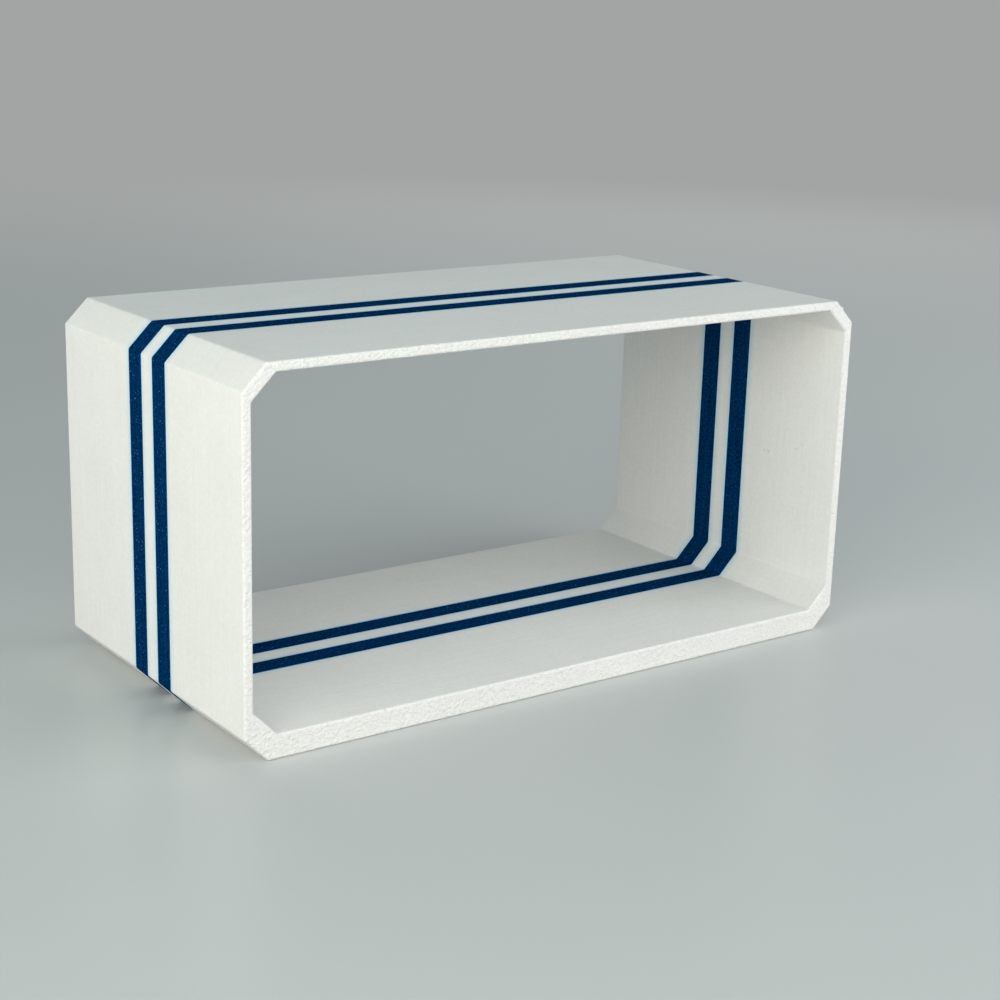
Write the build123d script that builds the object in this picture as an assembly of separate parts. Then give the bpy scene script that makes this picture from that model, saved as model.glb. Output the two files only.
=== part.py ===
from build123d import *
import os

# An open display frame for one 1:43 scale model car: a printed tube with chamfered corners, open
# at the front and the back, with two coloured stripes that run right round it, floor included.
#
# The printer lays the tube down on its front face and builds it up from front to back. It changes
# colour four times on the way, so the tube is five closed sections, each fused to the next over
# its whole end face, and the stripes go right through the wall.
#
# Millimetres. X runs left to right, Y from the open front (-Y) to the open back, Z up. The origin
# is on the surface that the frame stands on, in the middle of its footprint.

# Overall size
WIDTH = 150.0
DEPTH = 75.0
HEIGHT = 75.0

# Walls
WALL = 2.0              # sides and roof
FLOOR = 5.0             # the floor is thicker, so that the frame sits firmly
OUTER_CHAMFER = 5.0     # leg of the 45 degree chamfer on each outer corner
INNER_CHAMFER = 5.0     # the same on each inner corner

# Stripes, centred on the depth
STRIPE = 5.4
STRIPE_GAP = 4.6

# Rounding that the nozzle and the print bed leave
CORNER_ROUND = 0.8      # arrises that run from front to back, where the nozzle turns
FRONT_ROUND = 0.5       # both arrises of the front face, which lay on the print bed
REAR_ROUND = 0.2        # both arrises of the back face, the last layer printed


def upright_octagon(width, low, high, leg):
    """A face on the XZ plane from z = low to z = high, with chamfered and rounded corners."""
    box = Pos(0, (low + high) / 2) * Rectangle(width, high - low)
    octagon = chamfer(box.vertices(), leg)
    return Plane.XZ * fillet(octagon.vertices(), CORNER_ROUND)


def rim(tube, end):
    """The face at one end of the tube: Axis.Y sorts the front first and the back last."""
    return tube.faces().sort_by(Axis.Y)[end]


def whole_frame():
    """The frame as one body, before it is divided by colour."""
    outer = upright_octagon(WIDTH, 0, HEIGHT, OUTER_CHAMFER)
    inner = upright_octagon(WIDTH - 2 * WALL, FLOOR, HEIGHT - WALL, INNER_CHAMFER)
    tube = extrude(outer - inner, DEPTH / 2, both=True)
    tube = fillet(rim(tube, 0).edges(), FRONT_ROUND)
    return fillet(rim(tube, -1).edges(), REAR_ROUND)


def section_depths():
    """Each section's name with its depth, from front to back."""
    end = (DEPTH - 2 * STRIPE - STRIPE_GAP) / 2
    return {
        "front_section": end,
        "front_stripe": STRIPE,
        "centre_band": STRIPE_GAP,
        "rear_stripe": STRIPE,
        "rear_section": end,
    }


def slice_of(frame, front, depth):
    """The part of the frame between two distances from its front face."""
    slab = Box(WIDTH, depth, HEIGHT, align=(Align.CENTER, Align.MIN, Align.MIN))
    return frame & Pos(0, front - DEPTH / 2, 0) * slab


os.makedirs("parts", exist_ok=True)
frame = whole_frame()
front = 0.0
for name, depth in section_depths().items():
    section = slice_of(frame, front, depth)
    section.label = name
    export_step(section, f"parts/{name}.step")
    front += depth
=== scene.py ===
"""A printed display frame for a model car, with every print layer modelled.

The frame stands on a plain pale floor. Metres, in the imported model's own frame: X along the width,
-Y towards the open front, +Z up. The printer laid the tube down on its front face, so the layers
are stacked from front to back.
"""

import math
import random

import bpy
import numpy as np
from mathutils import Matrix, Vector


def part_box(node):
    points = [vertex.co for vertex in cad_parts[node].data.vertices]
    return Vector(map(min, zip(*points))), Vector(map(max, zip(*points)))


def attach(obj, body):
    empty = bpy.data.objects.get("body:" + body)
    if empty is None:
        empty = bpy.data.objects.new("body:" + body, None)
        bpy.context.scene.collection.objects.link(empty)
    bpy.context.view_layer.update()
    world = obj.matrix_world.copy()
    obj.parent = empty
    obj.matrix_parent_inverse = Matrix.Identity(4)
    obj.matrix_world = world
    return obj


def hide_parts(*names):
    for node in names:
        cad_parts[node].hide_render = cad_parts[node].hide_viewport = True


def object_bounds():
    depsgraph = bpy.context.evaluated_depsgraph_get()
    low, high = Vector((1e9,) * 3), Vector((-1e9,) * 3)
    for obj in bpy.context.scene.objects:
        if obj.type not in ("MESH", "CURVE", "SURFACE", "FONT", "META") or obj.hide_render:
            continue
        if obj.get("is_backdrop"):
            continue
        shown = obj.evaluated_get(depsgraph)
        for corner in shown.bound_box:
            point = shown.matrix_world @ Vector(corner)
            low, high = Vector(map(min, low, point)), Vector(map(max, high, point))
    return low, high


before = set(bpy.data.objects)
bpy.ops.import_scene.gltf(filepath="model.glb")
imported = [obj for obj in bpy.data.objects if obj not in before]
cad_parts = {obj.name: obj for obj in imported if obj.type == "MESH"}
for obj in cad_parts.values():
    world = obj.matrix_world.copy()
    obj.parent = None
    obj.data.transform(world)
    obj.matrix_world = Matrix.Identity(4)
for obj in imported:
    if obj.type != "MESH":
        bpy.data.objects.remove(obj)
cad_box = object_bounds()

MM = 0.001

# The section through the tube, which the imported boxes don't give
WALL = 2.0 * MM
FLOOR = 5.0 * MM
OUTER_CHAMFER = 5.0 * MM
INNER_CHAMFER = 5.0 * MM
CORNER_ROUND = 0.8 * MM
FRONT_ROUND = 0.5 * MM
REAR_ROUND = 0.2 * MM

# How it was printed
LAYER = 0.2 * MM            # height of one layer
JOINT = 0.022 * MM          # how far the joint between two layers lies under their crests
UNEVEN = 0.006 * MM         # how far a layer may be set back from the next
LINE = 0.42 * MM            # width of one pass of the nozzle
LINES = 2                   # passes that follow the outline, on each side of the wall
FRONT_LINE_JOINT = 0.006 * MM   # joints between passes on the first layer, pressed flat
REAR_LINE_JOINT = 0.03 * MM     # and on the last

# Blemishes of the print: the run of the outline they are on, how far along it from its middle,
# how wide they are there, where they start and end along the depth, and how far they stand out.
# A height below zero is a pit.
OUTER_BLEMISHES = [
    (1, 1.1 * MM, 0.90 * MM, -37.45 * MM, -36.9 * MM, 0.336 * MM),
]
INNER_BLEMISHES = [
    (0, -2.4 * MM, 0.75 * MM, -16.5 * MM, -14.1 * MM, -0.42 * MM),
    (0, 0.2 * MM, 0.50 * MM, -25.5 * MM, -24.7 * MM, -0.30 * MM),
    (0, 1.3 * MM, 0.60 * MM, -27.3 * MM, -26.1 * MM, -0.35 * MM),
    (6, 5.7 * MM, 0.20 * MM, -35.2 * MM, -34.8 * MM, 0.112 * MM),
    (6, 44.0 * MM, 0.50 * MM, -37.5 * MM, -36.9 * MM, -0.15 * MM),
]

# The seam, where the nozzle starts each layer, runs along the middle of the lower right chamfer
SEAM = (7, 0.0, 0.3 * MM)   # its run, how far it is from the middle of it, and its width
SEAM_HEIGHT = 0.05 * MM     # how far it stands out at most
SEAM_LEAST = 0.2            # and at least, as a share of that
SEAM_JITTER = 0.15 * MM     # how far it wanders to each side

# The mesh
ARC_STEPS = 4               # in each rounded corner
ROUND_STEPS = 5             # in each rounded arris
LONG_RUN_STEPS = 4          # along each wall
SUPPORT = 0.35 * MM         # points this near each corner keep the flat faces flat
GUARD = 0.3                 # and so do points this share of its width outside each mark
LEAST_STEP = 0.004 * MM     # rows of points that are no further apart than this become one
END_FACE_MARGIN = LINE / 20     # rows on an end face keep this far from its rounded arris
SLACK = 1e-6                # in a count of layers, for what rounding does to whole numbers
AT_JOINT = 1e-3             # a row this near a joint, as a share of a layer, lies on it

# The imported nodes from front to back, each with its material slot
SECTIONS = [
    ("front_section", "white_print"),
    ("front_stripe", "blue_print"),
    ("centre_band", "white_print"),
    ("rear_stripe", "blue_print"),
    ("rear_section", "white_print"),
]

# The shelves of the flat map, with the islands on each, and the runs of the outline in each island
SHELVES = [[(7, 0, 1), (3, 4, 5)], [(2,)], [(6,)]]
MAP_MARGIN = 0.006

# The camera, aimed at a point near the middle of the bay
AIM = Vector((4.6, -5.5, 31.9)) * MM
CAMERA_DISTANCE = 411.7 * MM
CAMERA_AZIMUTH = math.radians(-36.25)
CAMERA_ELEVATION = math.radians(15.52)
CAMERA_ROLL = math.radians(1.66)
LENS = 68.88                # millimetres, on the default 36 mm sensor


# ------------------------------------------------------------------ outlines of the tube

def facing(run):
    """Outward normal of a run, or of a point part of the way round a corner."""
    angle = math.radians(45 * run)
    return np.array((math.cos(angle), math.sin(angle)))


class Outline:
    """Points round an upright octagon with rounded corners, and the outward normal at each.

    Run 0 is the right wall from the bottom up, and the runs go on anticlockwise. A mark is a
    place on a run that gets points of its own, because the surface stands out or dips there.
    """

    def __init__(self, side, low, high, leg, marks):
        corners = [
            (side, low + leg), (side, high - leg), (side - leg, high), (leg - side, high),
            (-side, high - leg), (-side, low + leg), (leg - side, low), (side - leg, low),
        ]
        self.points, self.normals, self.runs, self.marks = [], [], [], {}
        for run, corner in enumerate(corners):
            self.add_corner(np.array(corner), run)
            following = np.array(corners[(run + 1) % len(corners)])
            marks_here = [mark for mark in marks if mark[0] == run]
            self.add_run(self.points[-1], following, run, marks_here)
        self.points = np.array(self.points)
        self.normals = np.array(self.normals)

    def add_corner(self, corner, run):
        before, after = facing(run - 1), facing(run)
        centre = corner - (before + after) * CORNER_ROUND / (1 + before @ after)
        for step in range(ARC_STEPS + 1):
            normal = facing(run - 1 + step / ARC_STEPS)
            self.points.append(centre + normal * CORNER_ROUND)
            self.normals.append(normal)
            self.runs.append(run)

    def add_run(self, start, corner, run, marks):
        """Points along a straight run, which ends where the next corner's rounding starts."""
        ahead = (corner - start) / np.linalg.norm(corner - start)
        length = np.linalg.norm(corner - start) - CORNER_ROUND * math.tan(math.pi / 8)
        steps = 1 if run % 2 else LONG_RUN_STEPS
        places = list(np.linspace(SUPPORT, length - SUPPORT, steps + 1))
        middles = {length / 2 + mark[1]: mark for mark in marks}
        for middle, (_, _, width) in middles.items():
            places += [middle + width * share for share in (-0.5 - GUARD, -0.5, 0, 0.5, 0.5 + GUARD)]
        for place in sorted(places):
            if place in middles:
                self.marks[middles[place]] = len(self.points)
            self.points.append(start + ahead * place)
            self.normals.append(facing(run))
            self.runs.append(run)


# ------------------------------------------------------------------ the printed sections

def rounding(distance, radius):
    """How far a rounded arris has drawn the surface back, this far from its end face."""
    left = max(radius - distance, 0)
    return radius - math.sqrt(max(radius ** 2 - left ** 2, 0))


class Skin:
    """One side of the wall of a section: its outline, its layers and its rounded arrises.

    A depth is how far a point lies in the wall, and into_wall turns it into a distance along the
    outline's normals.
    """

    def __init__(self, outline, into_wall, front, back, rounds, blemishes, seed):
        self.outline, self.into_wall = outline, into_wall
        self.front, self.back, self.rounds = front, back, rounds
        self.blemishes = blemishes
        layers = round((back - front) / LAYER)
        dice = random.Random(seed)
        self.set_back = [dice.uniform(0, UNEVEN) for _ in range(layers)]
        self.seam_height = [SEAM_HEIGHT * dice.uniform(SEAM_LEAST, 1) for _ in range(layers)]
        self.seam_shift = [dice.uniform(-SEAM_JITTER, SEAM_JITTER) for _ in range(layers)]

    def layer_at(self, y):
        return min(max(int((y - self.front) / LAYER), 0), len(self.set_back) - 1)

    def depth(self, y):
        """How far the surface lies in the wall at y."""
        place = (y - self.front) / LAYER
        joint = JOINT * abs(2 * (place - math.floor(place + SLACK)) - 1)
        arris = rounding(y - self.front, self.rounds[0]) + rounding(self.back - y, self.rounds[1])
        return self.set_back[self.layer_at(y)] + joint + arris

    def ring(self, y):
        """The printed surface at y, as points in space once round the outline."""
        depth = np.full(len(self.outline.points), self.depth(y))
        for run, along, width, start, end, height in self.blemishes:
            if start <= y <= end:
                depth[self.outline.marks[(run, along, width)]] -= height
        seam = self.outline.marks[SEAM]
        depth[seam] -= self.seam_height[self.layer_at(y)]
        flat = self.outline.points + self.outline.normals * depth[:, None] * self.into_wall
        run = SEAM[0]
        flat[seam] += facing(run + 2) * self.seam_shift[self.layer_at(y)]
        return lifted(flat, y)

    def ring_inside(self, y, depth):
        """The outline sunk this far into the wall, as points in space."""
        return lifted(self.outline.points + self.outline.normals * depth * self.into_wall, y)


def lifted(flat, y):
    """Points of a section, placed at a distance along the depth of the frame."""
    return np.column_stack((flat[:, 0], np.full(len(flat), y), flat[:, 1]))


def stations(front, back, rounds):
    """Distances along the depth at which a section has a row of points."""
    half_layers = round(2 * (back - front) / LAYER)
    places = [front + LAYER * half / 2 for half in range(half_layers + 1)]
    places += [front + reach for reach in arris_reaches(rounds[0])]
    places += [back - reach for reach in arris_reaches(rounds[1])]
    kept = []
    for place in sorted(places):
        if not kept or place - kept[-1] > LEAST_STEP:
            kept.append(place)
    kept[-1] = back
    return kept


def arris_reaches(radius):
    """Distances from an end face at which a rounded arris has a row of points."""
    if not radius:
        return []
    angles = [math.pi / 2 * step / ROUND_STEPS for step in range(ROUND_STEPS + 1)]
    return [radius * (1 - math.cos(angle)) for angle in angles]


def end_face_rings(skin, y, inwards, radius, joint):
    """Rows of points on an end face: along the middle of each pass and where it meets the next."""
    rings = []
    for half in range(1, 2 * LINES + 1):
        depth = LINE * half / 2
        if depth > radius + END_FACE_MARGIN:
            between_passes = half % 2 == 0
            drop = joint if between_passes else 0
            rings.append((skin.ring_inside(y + drop * inwards, depth), between_passes))
    return rings


def build_section(name, slot, front, back, is_front, is_back):
    """One closed ring of the tube, with its layers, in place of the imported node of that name."""
    low, high = cad_box
    rounds = (FRONT_ROUND if is_front else 0, REAR_ROUND if is_back else 0)
    marks = {SEAM} | {mark[:3] for mark in OUTER_BLEMISHES + INNER_BLEMISHES}
    outer_outline = Outline(high.x, low.z, high.z, OUTER_CHAMFER, marks)
    inner_outline = Outline(high.x - WALL, low.z + FLOOR, high.z - WALL, INNER_CHAMFER, marks)
    outer = Skin(outer_outline, -1, front, back, rounds, OUTER_BLEMISHES, name + "_outer")
    inner = Skin(inner_outline, 1, front, back, rounds, INNER_BLEMISHES, name + "_inner")
    places = stations(front, back, rounds)

    def layer_rings(skin, order):
        for y in order:
            place = (y - front) / LAYER
            yield skin.ring(y), abs(place - round(place)) < AT_JOINT

    rings = list(layer_rings(outer, places))
    if is_back:
        # The rounded outer arris runs smoothly into the back face
        rings[-1] = (rings[-1][0], False)
        rings += end_face_rings(outer, back, -1, REAR_ROUND, REAR_LINE_JOINT)
        rings += end_face_rings(inner, back, -1, REAR_ROUND, REAR_LINE_JOINT)[::-1]
    rings += list(layer_rings(inner, places[::-1]))
    if is_front:
        rings += end_face_rings(inner, front, 1, FRONT_ROUND, FRONT_LINE_JOINT)
        rings += end_face_rings(outer, front, 1, FRONT_ROUND, FRONT_LINE_JOINT)[::-1]
    piece = ring_mesh("printed_" + name, rings, outer_outline, marks - {SEAM})
    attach(piece, "root")
    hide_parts(name)
    return piece


def ring_mesh(name, rings, outline, sharp_marks):
    """A closed mesh through rows of points, whose last row joins its first.

    Each row comes with whether the shading breaks along it.
    """
    across, around = len(rings), len(rings[0][0])
    points = np.concatenate([ring for ring, _ in rings])
    row, column = np.meshgrid(np.arange(across), np.arange(around), indexing="ij")
    next_row, next_column = (row + 1) % across, (column + 1) % around
    quads = np.stack([
        row * around + column, next_row * around + column,
        next_row * around + next_column, row * around + next_column,
    ], axis=-1).reshape(-1, 4)
    mesh = bpy.data.meshes.new(name)
    mesh.from_pydata(points.tolist(), [], quads.tolist())
    mesh.shade_smooth()
    sharp_rows = [index for index, (_, sharp) in enumerate(rings) if sharp]
    sharp_columns = [outline.marks[mark] + side for mark in sharp_marks for side in (-1, 0, 1)]
    mark_sharp(mesh, around, sharp_rows, sharp_columns)
    add_flat_map(mesh, points.reshape(across, around, 3), outline)
    piece = bpy.data.objects.new(name, mesh)
    bpy.context.scene.collection.objects.link(piece)
    return piece


def mark_sharp(mesh, around, sharp_rows, sharp_columns):
    """Breaks the shading where two layers or two passes meet, and along the blemishes."""
    ends = np.empty(len(mesh.edges) * 2, int)
    mesh.edges.foreach_get("vertices", ends)
    rows, columns = ends.reshape(-1, 2).T // around, ends.reshape(-1, 2).T % around
    sharp = (rows[0] == rows[1]) & np.isin(rows[0], sharp_rows)
    sharp |= (columns[0] == columns[1]) & np.isin(columns[0], sharp_columns)
    mesh.attributes.new("sharp_edge", "BOOLEAN", "EDGE").data.foreach_set("value", sharp)


def add_flat_map(mesh, points, outline):
    """A flat map for baking: the section cut into islands, unrolled onto shelves.

    u runs along the outline. The rows of points go up each shelf.
    """
    across, around, _ = points.shape
    stretch = np.linalg.norm(np.roll(outline.points, -1, 0) - outline.points, axis=1)
    steps = np.linalg.norm(np.roll(points, -1, 0) - points, axis=2).mean(1)
    rise = np.concatenate(([0], np.cumsum(steps))) / steps.sum()
    runs = np.array(outline.runs)
    shelf_length = max(
        sum(stretch[np.isin(runs, island)].sum() for island in shelf) for shelf in SHELVES
    )
    u = np.zeros((around, 2))
    shelf_of = np.zeros(around)
    for number, shelf in enumerate(SHELVES):
        place = 0
        for island in shelf:
            for run in island:
                for column in np.flatnonzero(runs == run):
                    u[column] = place, place + stretch[column] / shelf_length
                    place = u[column, 1]
                    shelf_of[column] = number
            place += 2 * MAP_MARGIN
    u = MAP_MARGIN + u * (1 - 4 * MAP_MARGIN) / max(u.max(), 1)
    height = 1 / len(SHELVES)
    corners = np.empty((across, around, 4, 2))
    for corner, (up, on) in enumerate(((0, 0), (1, 0), (1, 1), (0, 1))):
        corners[:, :, corner, 0] = u[None, :, on]
        share = (rise[up:up + across, None] * (1 - 2 * MAP_MARGIN) + MAP_MARGIN)
        corners[:, :, corner, 1] = (shelf_of[None, :] + share) * height
    flat_map = mesh.uv_layers.new(name="OFBake")
    flat_map.uv.foreach_set("vector", corners.ravel().astype(np.float32))


# ------------------------------------------------------------------ materials

# Relief that is too fine for the mesh
TOOTH_SIZE, TOOTH_DEPTH = 0.16 * MM, 0.012 * MM
GRAIN_SIZE, GRAIN_DEPTH = 0.65 * MM, 0.45 * MM
INFILL_DEPTH = 0.06 * MM
FRONT_INFILL = 0.35         # share of that depth on the front face
END_FACE_TURN = (0.35, 0.70)    # an arris fades from wall to end face as it turns by this much

# Dark and light ends of the white, and of the blue and the flecks in it
WHITE = ((0.780, 0.773, 0.740, 1), (0.855, 0.848, 0.815, 1))
BLUE = ((0.0003, 0.0065, 0.0400, 1), (0.0012, 0.0480, 0.1500, 1))
FLECK = ((0.001, 0.055, 0.175, 1), (0.070, 0.300, 0.540, 1))

# Values of the mixed noise that give those ends: the nearer together, the stronger the contrast
WHITE_TONES = (0.35, 0.65)
BLUE_TONES = (0.38, 0.62)

WHITE_ROUGHNESS = (0.45, 0.58)  # in its dark streaks and its light ones
BLUE_ROUGHNESS = (0.50, 0.35)   # of the body and of a fleck

# Patches of light and dark: streaks run round the tube within a layer or two
WHITE_STREAK = (25 * MM, 0.5 * MM, 25 * MM)
BLUE_STREAK = (10 * MM, 0.5 * MM, 10 * MM)
CLOUD_SIZE = 14 * MM
SPECKLE_SIZE = 0.8 * MM
MOTTLE_SIZE = 0.5 * MM

# The flecks in the blue
FLECK_SIZE = 0.32 * MM      # of the cell that one sits in
FLECK_SHARE = 0.05          # of the cells hold one
FLECK_EDGE = (0.60, 0.20)   # it fades out between these distances from the middle of its cell
FLECK_RAGGED = 0.5          # how far the cells' borders wander, as a share of their size
FLECK_TILT = 0.7            # how far its normal can turn from the surface's
FLECK_METAL = 0.4

# Painted shade: the white's colour is darkened and tinted bluish beside the blue, standing in for light
# that passes through the white from the blue
PAINTED_SHADE_TINT = (0.60, 0.88, 1.06, 1)
PAINTED_SHADE_REACH = 2.2 * MM


class Nodes:
    """Short names for adding shader nodes to one material."""

    def __init__(self, name):
        self.material = bpy.data.materials.new(name)
        self.material.use_nodes = True
        self.tree = self.material.node_tree
        self.shader = self.tree.nodes["Principled BSDF"]

    @classmethod
    def of(cls, world):
        """The same short names for a world's nodes."""
        world.use_nodes = True
        of_world = cls.__new__(cls)
        of_world.tree = world.node_tree
        return of_world

    def plug(self, socket, value):
        if isinstance(value, bpy.types.NodeSocket):
            self.tree.links.new(value, socket)
        else:
            socket.default_value = value

    def set(self, **inputs):
        """Inputs of the material's own shader."""
        for name, value in inputs.items():
            self.plug(self.shader.inputs[name.replace("_", " ")], value)

    def add(self, kind, settings=None, **inputs):
        node = self.tree.nodes.new(kind)
        for key, value in (settings or {}).items():
            setattr(node, key, value)
        for name, value in inputs.items():
            self.plug(node.inputs[name.replace("_", " ")], value)
        return node

    def math(self, operation, *values):
        node = self.add("ShaderNodeMath", {"operation": operation})
        for socket, value in zip(node.inputs, values):
            self.plug(socket, value)
        return node.outputs[0]

    def vector(self, operation, *values):
        node = self.add("ShaderNodeVectorMath", {"operation": operation})
        for socket, value in zip(node.inputs, values):
            self.plug(socket, value)
        return node.outputs[0]

    def scaled(self, vector, factor):
        settings = {"operation": "SCALE"}
        return self.add("ShaderNodeVectorMath", settings, Vector=vector, Scale=factor).outputs[0]

    def ramp(self, value, low, high, to_low=0.0, to_high=1.0):
        """The value mapped from one range to another, held at its ends."""
        node = self.add("ShaderNodeMapRange")
        for socket, number in zip(node.inputs, (value, low, high, to_low, to_high)):
            self.plug(socket, number)
        return node.outputs[0]

    def mix(self, share, first, second, blend="MIX"):
        """Two colours blended, the second as far as the share says."""
        node = self.add("ShaderNodeMix", {"data_type": "RGBA", "blend_type": blend})
        # The colour sockets share their names with the number sockets, so they go by place
        for index, value in ((0, share), (6, first), (7, second)):
            self.plug(node.inputs[index], value)
        return node.outputs[2]

    def noise(self, place, size, detail=2.0, roughness=0.5):
        """Noise whose features are about this long: one length, or one for each axis."""
        if not isinstance(size, tuple):
            size = (size, size, size)
        place = self.vector("DIVIDE", place, size)
        return self.add(
            "ShaderNodeTexNoise", Vector=place, Scale=1.0, Detail=detail, Roughness=roughness,
        ).outputs["Fac"]

    def bump(self, height, distance, below=None):
        node = self.add("ShaderNodeBump", Height=height, Distance=distance, Strength=1.0)
        if below is not None:
            self.plug(node.inputs["Normal"], below)
        return node.outputs["Normal"]


def weighted(nodes, *terms):
    """The sum of some values, each times its weight."""
    total = nodes.math("MULTIPLY", *terms[0])
    for value, weight in terms[1:]:
        total = nodes.math("ADD", total, nodes.math("MULTIPLY", value, weight))
    return total


def end_faces(nodes):
    """1 on the end faces of the frame and 0 on its walls, and likewise for the rear face alone."""
    normal = nodes.add("ShaderNodeNewGeometry").outputs["True Normal"]
    along_depth = nodes.add("ShaderNodeSeparateXYZ", Vector=normal).outputs["Y"]
    either = nodes.ramp(nodes.math("ABSOLUTE", along_depth), *END_FACE_TURN)
    return either, nodes.ramp(along_depth, *END_FACE_TURN)


def infill(nodes, place, end_face, rear_face):
    """Slanting passes on the end faces of the floor, between those that follow the outline.

    Those on the first layer are pressed flat against the print bed.
    """
    edge = LINE * LINES
    across, _, up = nodes.add("ShaderNodeSeparateXYZ", Vector=place).outputs
    above = nodes.math("GREATER_THAN", up, edge)
    below = nodes.math("LESS_THAN", up, FLOOR - edge)
    passes = nodes.math("DIVIDE", nodes.math("ADD", across, up), LINE * math.sqrt(2))
    crest = nodes.math("ABSOLUTE", nodes.math("SUBTRACT", nodes.math("FRACT", passes), 0.5))
    relief = weighted(nodes, (end_face, FRONT_INFILL), (rear_face, 1 - FRONT_INFILL))
    on_floor = nodes.math("MULTIPLY", above, below)
    return nodes.math("MULTIPLY", nodes.math("MULTIPLY", crest, relief), on_floor)


def print_skin(nodes, place):
    """The normal of a printed surface.

    It has a fine tooth everywhere, the print bed's grain on the front face, and the infill on the
    end faces of the floor.
    """
    end_face, rear_face = end_faces(nodes)
    front_face = nodes.math("SUBTRACT", end_face, rear_face)
    tooth = nodes.bump(nodes.noise(place, TOOTH_SIZE, 3.0, 0.6), TOOTH_DEPTH)
    grain = nodes.math("MULTIPLY", nodes.noise(place, GRAIN_SIZE, 2.0, 0.6), front_face)
    grained = nodes.bump(grain, GRAIN_DEPTH, tooth)
    return nodes.bump(infill(nodes, place, end_face, rear_face), -INFILL_DEPTH, grained)


def white_print():
    nodes = Nodes("white_print")
    place = nodes.add("ShaderNodeTexCoord").outputs["Object"]
    depth = nodes.add("ShaderNodeSeparateXYZ", Vector=place).outputs["Y"]
    layer = nodes.math("FLOOR", nodes.math("DIVIDE", depth, LAYER))
    per_layer = nodes.add("ShaderNodeTexWhiteNoise", {"noise_dimensions": "1D"}, W=layer).outputs[0]
    streak = nodes.noise(place, WHITE_STREAK)
    cloud = nodes.noise(place, CLOUD_SIZE, 3.0)
    speckle = nodes.noise(place, SPECKLE_SIZE, 2.0, 0.6)
    grain = nodes.math("SUBTRACT", nodes.noise(place, GRAIN_SIZE, 2.0, 0.6), 0.5)
    front_grain = nodes.math("MULTIPLY", grain, nodes.math("SUBTRACT", *end_faces(nodes)))
    tone = weighted(
        nodes, (streak, 0.22), (cloud, 0.23), (speckle, 0.47), (per_layer, 0.08), (front_grain, 0.35),
    )
    white = nodes.mix(nodes.ramp(tone, *WHITE_TONES), *WHITE)
    nodes.set(
        # The white's colour with the painted bluish shade beside the blue multiplied in
        Base_Color=nodes.mix(painted_shade_beside_blue(nodes, depth), white, PAINTED_SHADE_TINT, "MULTIPLY"),
        Roughness=nodes.ramp(streak, 0.3, 0.7, *WHITE_ROUGHNESS),
        Normal=print_skin(nodes, place),
        Specular_IOR_Level=0.35,
    )
    return nodes.material


def painted_shade_beside_blue(nodes, depth):
    """How strongly the painted shade falls on a point of the white: 1 at a joint with the blue, and 0
    out of its reach.
    """
    near = 0.0
    blue_sections = [name for name, slot in SECTIONS if slot == "blue_print"]
    for name in blue_sections:
        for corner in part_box(name):
            away = nodes.math("ABSOLUTE", nodes.math("SUBTRACT", depth, corner.y))
            near = nodes.math("MAXIMUM", near, nodes.ramp(away, PAINTED_SHADE_REACH, 0.0))
    return nodes.math("POWER", near, 2.0)


def blue_print():
    nodes = Nodes("blue_print")
    place = nodes.add("ShaderNodeTexCoord").outputs["Object"]
    mottle = nodes.noise(place, MOTTLE_SIZE, 3.0, 0.7)
    streak = nodes.noise(place, BLUE_STREAK)
    tone = weighted(nodes, (mottle, 0.8), (streak, 0.2))
    wander = nodes.add("ShaderNodeTexNoise", Vector=nodes.scaled(place, 1 / FLECK_SIZE), Scale=1.0)
    warped = nodes.vector("ADD", place, nodes.scaled(wander.outputs["Color"], FLECK_RAGGED * FLECK_SIZE))
    cells = nodes.add("ShaderNodeTexVoronoi", Vector=warped, Scale=1 / FLECK_SIZE)
    lot = nodes.add("ShaderNodeSeparateColor", Color=cells.outputs["Color"])
    chosen = nodes.math("LESS_THAN", lot.outputs[0], FLECK_SHARE)
    fleck = nodes.math("MULTIPLY", chosen, nodes.ramp(cells.outputs["Distance"], *FLECK_EDGE))
    tilt = nodes.vector("SUBTRACT", cells.outputs["Color"], (0.5, 0.5, 0.5))
    turn = nodes.scaled(tilt, nodes.math("MULTIPLY", fleck, FLECK_TILT))
    tilted = nodes.vector("ADD", print_skin(nodes, place), turn)
    blue = nodes.mix(nodes.ramp(tone, *BLUE_TONES), *BLUE)
    glint = nodes.mix(nodes.math("POWER", lot.outputs[1], 3.0), *FLECK)
    nodes.set(
        Base_Color=nodes.mix(fleck, blue, glint),
        Metallic=nodes.math("MULTIPLY", fleck, FLECK_METAL),
        Roughness=nodes.ramp(fleck, 0.0, 1.0, *BLUE_ROUGHNESS),
        Normal=nodes.vector("NORMALIZE", tilted),
        Specular_IOR_Level=0.0,
    )
    return nodes.material


# ------------------------------------------------------------------ stage, light and camera

STAGE_GREY = (0.50, 0.515, 0.505, 1)        # as the light sees it
STAGE_PALE = (0.60, 0.615, 0.605, 1)        # as the camera sees it
STAGE_RADIUS = 20.0
STAGE_ROUGHNESS = 0.35
BACKDROP_GREY = (0.36, 0.375, 0.37, 1)
FADE_START, FADE_END = 0.25, 1.0    # distances over which the floor fades into the backdrop
AMBIENT = (0.170, 0.214, 0.232, 1)

# Each lamp's name, azimuth, elevation, distance from the bay, size, level and colour
LAMPS = [
    ("key", -60, 16, 0.60, (0.72, 0.32), 0.885, (1.0, 0.968, 0.905)),
    ("fill", 42, 16, 0.60, (0.72, 0.32), 0.73, (1.0, 0.98, 0.99)),
    ("top", -45, 50, 1.0, (1.0, 0.8), 0.17, (0.74, 1.0, 1.0)),
    ("rear", 130, 10, 1.0, (0.9, 0.5), 0.35, (1.0, 1.0, 1.0)),
]


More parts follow.
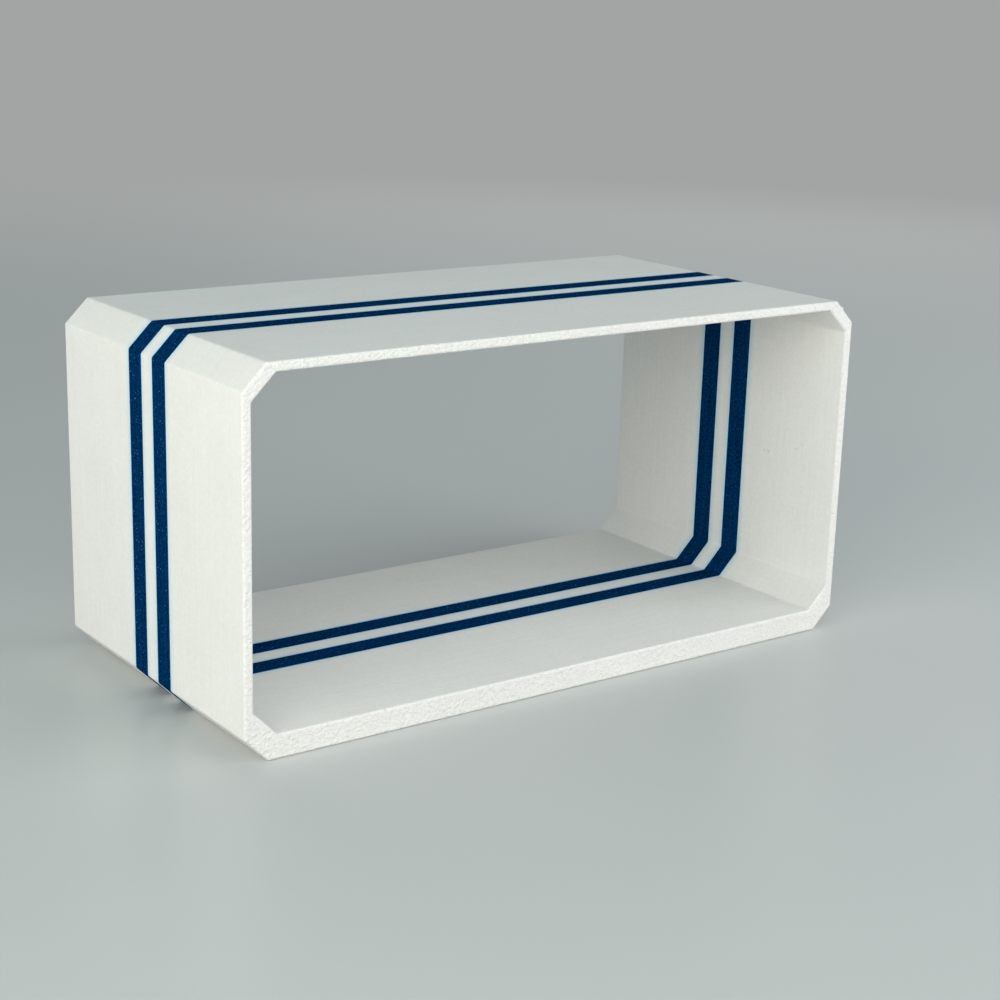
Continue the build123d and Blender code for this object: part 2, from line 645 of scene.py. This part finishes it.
def seen_directly(nodes):
    """1 for rays from the camera and for mirrored and transmitted ones, and 0 for the light."""
    path = nodes.add("ShaderNodeLightPath").outputs
    either = nodes.math("MAXIMUM", path["Is Camera Ray"], path["Is Glossy Ray"])
    return nodes.math("MAXIMUM", either, path["Is Transmission Ray"])


def build_stage():
    """A wide floor, which fades into the backdrop away from the frame."""
    mesh = bpy.data.meshes.new("stage")
    far, floor_level = STAGE_RADIUS, cad_box[0].z
    corners = [(x, y, floor_level) for x, y in ((-far, -far), (far, -far), (far, far), (-far, far))]
    mesh.from_pydata(corners, [], [range(len(corners))])
    stage = bpy.data.objects.new("stage", mesh)
    bpy.context.scene.collection.objects.link(stage)
    nodes = Nodes("stage")
    nodes.set(
        Base_Color=nodes.mix(seen_directly(nodes), STAGE_GREY, STAGE_PALE),
        Roughness=STAGE_ROUGHNESS,
        Specular_IOR_Level=0.35,
    )
    place = nodes.add("ShaderNodeTexCoord").outputs["Object"]
    away = nodes.add("ShaderNodeVectorMath", {"operation": "LENGTH"}, Vector=place).outputs["Value"]
    fade = nodes.add("ShaderNodeMapRange", {"interpolation_type": "SMOOTHSTEP"})
    for socket, value in zip(fade.inputs, (away, FADE_START, FADE_END, 0, 1)):
        nodes.plug(socket, value)
    backdrop = nodes.add("ShaderNodeEmission", Color=BACKDROP_GREY)
    share = nodes.math("MULTIPLY", fade.outputs[0], seen_directly(nodes))
    blend = nodes.add("ShaderNodeMixShader", Fac=share)
    nodes.plug(blend.inputs[1], nodes.shader.outputs[0])
    nodes.plug(blend.inputs[2], backdrop.outputs[0])
    nodes.plug(nodes.tree.nodes["Material Output"].inputs["Surface"], blend.outputs[0])
    mesh.materials.append(nodes.material)
    stage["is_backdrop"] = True


def build_world():
    """Even light from all round, with the backdrop's grey where the world itself is seen."""
    world = bpy.data.worlds.new("studio")
    bpy.context.scene.world = world
    nodes = Nodes.of(world)
    background = nodes.tree.nodes["Background"]
    nodes.plug(background.inputs["Color"], nodes.mix(seen_directly(nodes), AMBIENT, BACKDROP_GREY))


def direction(azimuth, elevation):
    """Unit vector from the object to a point at this azimuth, where 0 is straight in front."""
    level = math.cos(elevation)
    return Vector((math.sin(azimuth) * level, -math.cos(azimuth) * level, math.sin(elevation)))


def softbox(name, azimuth, elevation, distance, size, level, colour):
    """A soft lamp aimed at the bay, from a direction in degrees.

    At a level of 1, a card that stands there and faces the lamp shows about its own colour.
    """
    towards = direction(math.radians(azimuth), math.radians(elevation))
    lamp = bpy.data.lights.new(name, "AREA")
    lamp.shape = "RECTANGLE"
    lamp.size, lamp.size_y = size
    lamp.energy = level * (math.pi * distance) ** 2
    lamp.color = colour
    light = bpy.data.objects.new(name, lamp)
    light.visible_camera = False
    light.visible_glossy = False
    light.location = AIM + towards * distance
    light.rotation_euler = towards.to_track_quat("Z", "Y").to_euler()
    bpy.context.scene.collection.objects.link(light)


def build_camera():
    data = bpy.data.cameras.new("camera")
    data.lens = LENS
    data.clip_start = 0.01
    camera = bpy.data.objects.new("camera", data)
    camera.location = AIM + direction(CAMERA_AZIMUTH, CAMERA_ELEVATION) * CAMERA_DISTANCE
    turn = Matrix.Rotation(CAMERA_AZIMUTH, 3, "Z")
    tip = Matrix.Rotation(math.pi / 2 - CAMERA_ELEVATION, 3, "X")
    camera.rotation_euler = (turn @ tip @ Matrix.Rotation(CAMERA_ROLL, 3, "Z")).to_euler()
    bpy.context.scene.collection.objects.link(camera)
    bpy.context.scene.camera = camera


# ------------------------------------------------------------------ the whole scene

materials = {"white_print": white_print(), "blue_print": blue_print()}
for index, (node, slot) in enumerate(SECTIONS):
    lowest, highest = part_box(node)
    ends = (index == 0, index == len(SECTIONS) - 1)
    section = build_section(node, slot, lowest.y, highest.y, *ends)
    section.data.materials.append(materials[slot])

build_stage()
build_world()
for lamp in LAMPS:
    softbox(*lamp)
build_camera()
bpy.context.scene.view_settings.view_transform = "Standard"

visual_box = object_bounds()
boxes = {"cad": cad_box, "visual": visual_box}
{name: [list(corner) for corner in box] for name, box in boxes.items()}
